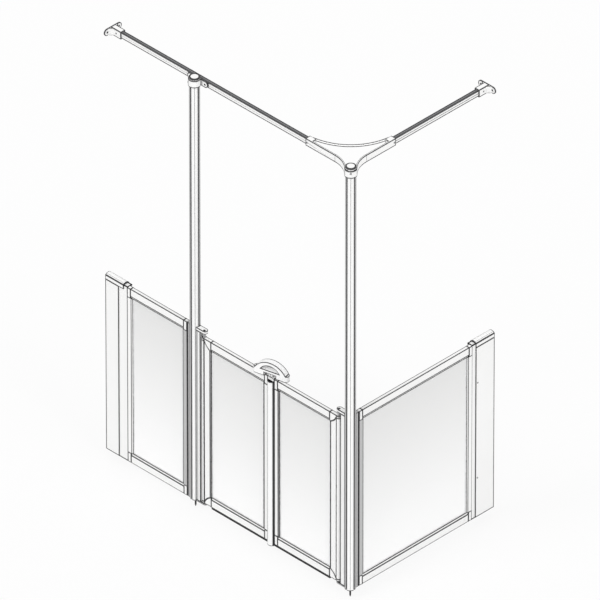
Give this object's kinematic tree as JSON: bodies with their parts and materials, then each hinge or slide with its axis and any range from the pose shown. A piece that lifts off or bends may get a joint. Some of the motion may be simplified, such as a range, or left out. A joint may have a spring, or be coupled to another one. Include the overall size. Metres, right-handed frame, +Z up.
{
  "type": "half height shower screen",
  "caption": "Corner half height shower screen with fixed panels, a pair of swinging doors with a top handle, and tall posts under braced overhead rails.",
  "frame": {"origin": "the corner post's axis at the level of the finished floor, where its floor pin leaves the post", "axes": "+Z up; -X along the door side to the left wall; +Y along the return side to the right wall; outside the shower is -Y on the door side and +X on the return side"},
  "size_m": [1.472, 0.8795, 2.212],
  "materials": {
    "frame_paint": "satin white powder coat on aluminium",
    "cap_plastic": "fine moulded texture",
    "bracket_plastic": "smooth moulding",
    "handle_plastic": "smooth moulding",
    "strip_plastic": "smooth extrusion",
    "glazing": "translucent",
    "gasket_rubber": "matt",
    "seal_rubber": "matt",
    "screw_steel": "dark",
    "pivot_steel": "turned",
    "pin_steel": "black"
  },
  "bodies": {
    "screen": {"corner_brace": "bracket_plastic", "corner_connector": "bracket_plastic", "corner_post": "frame_paint", "corner_post_joiner": "frame_paint", "floor_pins": "pin_steel", "foot_plugs": "cap_plastic", "left_hinge_caps": "cap_plastic", "left_hinge_profile": "frame_paint", "left_pivot_pins": "pivot_steel", "left_rail_bracket": "bracket_plastic", "left_wall_adjuster": "frame_paint", "left_wall_cap": "cap_plastic", "left_wall_channel": "frame_paint", "lock_screws": "screw_steel", "long_overhead_rail": "frame_paint", "overhead_screws": "screw_steel", "post_caps": "cap_plastic", "return_panel_corner_caps": "cap_plastic", "return_panel_gasket": "gasket_rubber", "return_panel_glass": "glazing", "return_panel_rails": "frame_paint", "return_panel_stiles": "frame_paint", "right_hinge_caps": "cap_plastic", "right_hinge_profile": "frame_paint", "right_pivot_pins": "pivot_steel", "right_rail_bracket": "bracket_plastic", "right_wall_adjuster": "frame_paint", "right_wall_cap": "cap_plastic", "right_wall_channel": "frame_paint", "short_overhead_rail": "frame_paint", "side_panel_corner_caps": "cap_plastic", "side_panel_gasket": "gasket_rubber", "side_panel_glass": "glazing", "side_panel_rails": "frame_paint", "side_panel_stiles": "frame_paint", "side_post": "frame_paint", "side_post_bracket": "bracket_plastic", "side_post_joiner": "frame_paint"},
    "left_door": {"handle_spindle": "pivot_steel", "left_door_corner_caps": "cap_plastic", "left_door_gasket": "gasket_rubber", "left_door_glass": "glazing", "left_door_hinge_stile": "frame_paint", "left_door_meeting_stile": "frame_paint", "left_door_pivot_caps": "cap_plastic", "left_door_rails": "frame_paint", "left_door_wiper": "seal_rubber", "meeting_strip": "strip_plastic", "meeting_strip_cap": "cap_plastic"},
    "right_door": {"meeting_edge_seal": "seal_rubber", "right_door_corner_caps": "cap_plastic", "right_door_gasket": "gasket_rubber", "right_door_glass": "glazing", "right_door_hinge_stile": "frame_paint", "right_door_meeting_stile": "frame_paint", "right_door_pivot_caps": "cap_plastic", "right_door_rails": "frame_paint", "right_door_wiper": "seal_rubber"},
    "door_handle": {"handle_grip": "handle_plastic"}
  },
  "joints": [
    {"name": "left_door_swing", "type": "hinge", "parent": "screen", "child": "left_door", "pos_m": [-0.8615, -0.006, 0.4], "axis": [0, 0, 1], "range_deg": [-90, 90]},
    {"name": "right_door_swing", "type": "hinge", "parent": "screen", "child": "right_door", "pos_m": [-0.0615, -0.006, 0.4], "axis": [0, 0, 1], "range_deg": [-90, 90]},
    {"name": "handle_turn", "type": "hinge", "parent": "left_door", "child": "door_handle", "pos_m": [-0.463, -0.004, 0.88], "axis": [0, 0, 1], "range_deg": [-14, 76]}
  ]
}
